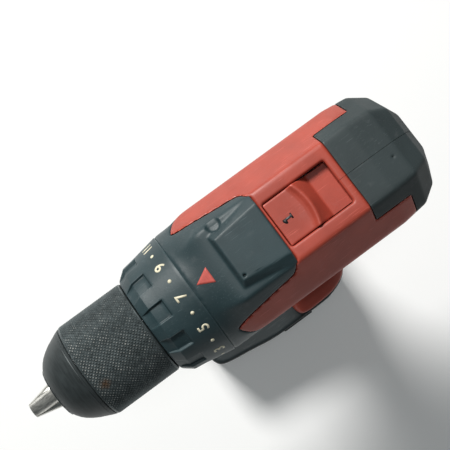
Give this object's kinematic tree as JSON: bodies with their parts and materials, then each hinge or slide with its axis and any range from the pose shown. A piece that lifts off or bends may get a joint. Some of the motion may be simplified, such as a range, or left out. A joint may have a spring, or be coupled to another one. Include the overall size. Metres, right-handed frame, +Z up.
{
  "type": "cordless drill",
  "caption": "Pistol-grip cordless drill driver with keyless chuck, numbered clutch collar, gear selector and slide-on battery pack.",
  "frame": {"origin": "on the battery pack's flat underside, on the surface that the drill stands on, 9 mm behind the centre of the pack", "axes": "+X forward along the spindle towards the chuck, +Y to the drill's left, +Z up"},
  "size_m": [0.1913, 0.0758, 0.2093],
  "materials": {
    "red_plastic": "fine-textured red glass-filled nylon",
    "black_plastic": "fine-textured black nylon",
    "black_rubber": "soft black overmould",
    "dark_steel": "blackened steel",
    "bright_steel": "ground steel",
    "aluminium": "cast aluminium",
    "copper_windings": "steel stack with copper windings",
    "clear_lens": "clear plastic lens",
    "cell_wrap": "shrink-wrapped steel cells",
    "grey_plastic": "grey plastic and circuit board"
  },
  "bodies": {
    "housing": {"housing_left": "red_plastic", "housing_right": "red_plastic", "front_cover": "black_plastic", "rear_pad_left": "black_rubber", "rear_pad_right": "black_rubber", "grip_left": "black_rubber", "grip_right": "black_rubber", "led_lens": "clear_lens", "housing_screw_1": "dark_steel", "housing_screw_2": "dark_steel", "housing_screw_3": "dark_steel", "housing_screw_4": "dark_steel", "housing_screw_5": "dark_steel", "gear_case": "aluminium", "clutch_ring_gear": "bright_steel", "front_bearing": "bright_steel", "clutch_plate": "bright_steel", "clutch_spring": "bright_steel", "motor_can": "bright_steel", "motor_end_cap": "black_plastic", "rear_bearing": "bright_steel", "switch_module": "grey_plastic", "trigger_spring": "bright_steel", "terminal_block": "black_plastic"},
    "spindle": {"spindle": "bright_steel", "chuck_body": "dark_steel", "chuck_nose": "dark_steel", "chuck_screw": "bright_steel"},
    "sleeve": {"chuck_sleeve": "dark_steel", "chuck_nut": "bright_steel"},
    "jaw_1": {"jaw_1": "bright_steel"},
    "jaw_2": {"jaw_2": "bright_steel"},
    "jaw_3": {"jaw_3": "bright_steel"},
    "carrier_1": {"carrier_1": "bright_steel"},
    "planet_1_1": {"planet_1_1": "bright_steel"},
    "planet_1_2": {"planet_1_2": "bright_steel"},
    "planet_1_3": {"planet_1_3": "bright_steel"},
    "planet_2_1": {"planet_2_1": "bright_steel"},
    "planet_2_2": {"planet_2_2": "bright_steel"},
    "planet_2_3": {"planet_2_3": "bright_steel"},
    "rotor": {"rotor": "copper_windings", "cooling_fan": "black_plastic", "motor_pinion": "bright_steel"},
    "collar": {"clutch_collar": "black_plastic"},
    "clutch_nut": {"clutch_nut": "bright_steel"},
    "selector": {"selector_slide": "red_plastic", "shift_fork": "bright_steel", "shift_ring": "bright_steel"},
    "trigger": {"trigger": "black_plastic"},
    "direction_button": {"direction_button": "black_plastic"},
    "battery": {"battery_base": "black_plastic", "battery_lid": "black_plastic", "cells_lower": "cell_wrap", "cells_upper": "cell_wrap", "battery_board": "grey_plastic"},
    "latch_left": {"latch_left": "red_plastic"},
    "latch_right": {"latch_right": "red_plastic"}
  },
  "joints": [
    {"name": "spindle_spin", "type": "hinge", "parent": "housing", "child": "spindle", "pos_m": [0, 0, 0.176], "axis": [1, 0, 0], "continuous": true},
    {"name": "carrier_spin", "type": "hinge", "parent": "housing", "child": "carrier_1", "pos_m": [0, 0, 0.176], "axis": [1, 0, 0], "continuous": true},
    {"name": "rotor_spin", "type": "hinge", "parent": "housing", "child": "rotor", "pos_m": [0, 0, 0.176], "axis": [1, 0, 0], "continuous": true},
    {"name": "planet_1_1_spin", "type": "hinge", "parent": "carrier_1", "child": "planet_1_1", "pos_m": [0, 0.0108, 0.176], "axis": [1, 0, 0], "continuous": true},
    {"name": "planet_1_2_spin", "type": "hinge", "parent": "carrier_1", "child": "planet_1_2", "pos_m": [0, -0.0054, 0.18535], "axis": [1, 0, 0], "continuous": true},
    {"name": "planet_1_3_spin", "type": "hinge", "parent": "carrier_1", "child": "planet_1_3", "pos_m": [0, -0.0054, 0.16665], "axis": [1, 0, 0], "continuous": true},
    {"name": "planet_2_1_spin", "type": "hinge", "parent": "spindle", "child": "planet_2_1", "pos_m": [0, 0.0108, 0.176], "axis": [1, 0, 0], "continuous": true},
    {"name": "planet_2_2_spin", "type": "hinge", "parent": "spindle", "child": "planet_2_2", "pos_m": [0, -0.0054, 0.18535], "axis": [1, 0, 0], "continuous": true},
    {"name": "planet_2_3_spin", "type": "hinge", "parent": "spindle", "child": "planet_2_3", "pos_m": [0, -0.0054, 0.16665], "axis": [1, 0, 0], "continuous": true},
    {"name": "sleeve_turn", "type": "hinge", "parent": "spindle", "child": "sleeve", "pos_m": [0, 0, 0.176], "axis": [1, 0, 0], "range_deg": [0, 4320]},
    {"name": "jaw_1_slide", "type": "slide", "parent": "spindle", "child": "jaw_1", "axis": [-0.9659, 0, 0.2588], "range_m": [0, 0.024]},
    {"name": "jaw_2_slide", "type": "slide", "parent": "spindle", "child": "jaw_2", "axis": [-0.9659, -0.2241, -0.1294], "range_m": [0, 0.024]},
    {"name": "jaw_3_slide", "type": "slide", "parent": "spindle", "child": "jaw_3", "axis": [-0.9659, 0.2241, -0.1294], "range_m": [0, 0.024]},
    {"name": "collar_turn", "type": "hinge", "parent": "housing", "child": "collar", "pos_m": [0, 0, 0.176], "axis": [-1, 0, 0], "range_deg": [-96, 144]},
    {"name": "clutch_nut_travel", "type": "slide", "parent": "collar", "child": "clutch_nut", "axis": [-1, 0, 0], "range_m": [-0.0017, 0.0025], "deforming": ["clutch_spring"]},
    {"name": "selector_shift", "type": "slide", "parent": "housing", "child": "selector", "axis": [-1, 0, 0], "range_m": [0, 0.009]},
    {"name": "trigger_pull", "type": "slide", "parent": "housing", "child": "trigger", "axis": [-1, 0, 0], "range_m": [0, 0.007], "stiffness_N_per_m": 900, "springref_m": -0.004, "deforming": ["trigger_spring"]},
    {"name": "direction_slide", "type": "slide", "parent": "housing", "child": "direction_button", "axis": [0, 1, 0], "range_m": [-0.003, 0.003]},
    {"name": "battery_slide", "type": "slide", "parent": "housing", "child": "battery", "axis": [1, 0, 0], "range_m": [0, 0.036]},
    {"name": "latch_left_press", "type": "slide", "parent": "battery", "child": "latch_left", "axis": [0, -1, 0], "range_m": [0, 0.0022], "stiffness_N_per_m": 1500, "springref_m": -0.001},
    {"name": "latch_right_press", "type": "slide", "parent": "battery", "child": "latch_right", "axis": [0, 1, 0], "range_m": [0, 0.0022], "stiffness_N_per_m": 1500, "springref_m": -0.001}
  ],
  "couplings": [
    {"joint": "carrier_spin", "follows": "spindle_spin", "ratio": 4},
    {"joint": "rotor_spin", "follows": "spindle_spin", "ratio": 16},
    {"joint": "planet_1_1_spin", "follows": "spindle_spin", "ratio": -12},
    {"joint": "planet_1_2_spin", "follows": "spindle_spin", "ratio": -12},
    {"joint": "planet_1_3_spin", "follows": "spindle_spin", "ratio": -12},
    {"joint": "planet_2_1_spin", "follows": "spindle_spin", "ratio": -3},
    {"joint": "planet_2_2_spin", "follows": "spindle_spin", "ratio": -3},
    {"joint": "planet_2_3_spin", "follows": "spindle_spin", "ratio": -3},
    {"joint": "jaw_1_slide", "follows": "sleeve_turn", "m_per_rad": 0.00031831},
    {"joint": "jaw_2_slide", "follows": "sleeve_turn", "m_per_rad": 0.00031831},
    {"joint": "jaw_3_slide", "follows": "sleeve_turn", "m_per_rad": 0.00031831},
    {"joint": "clutch_nut_travel", "follows": "collar_turn", "m_per_rad": 0.00095493}
  ]
}
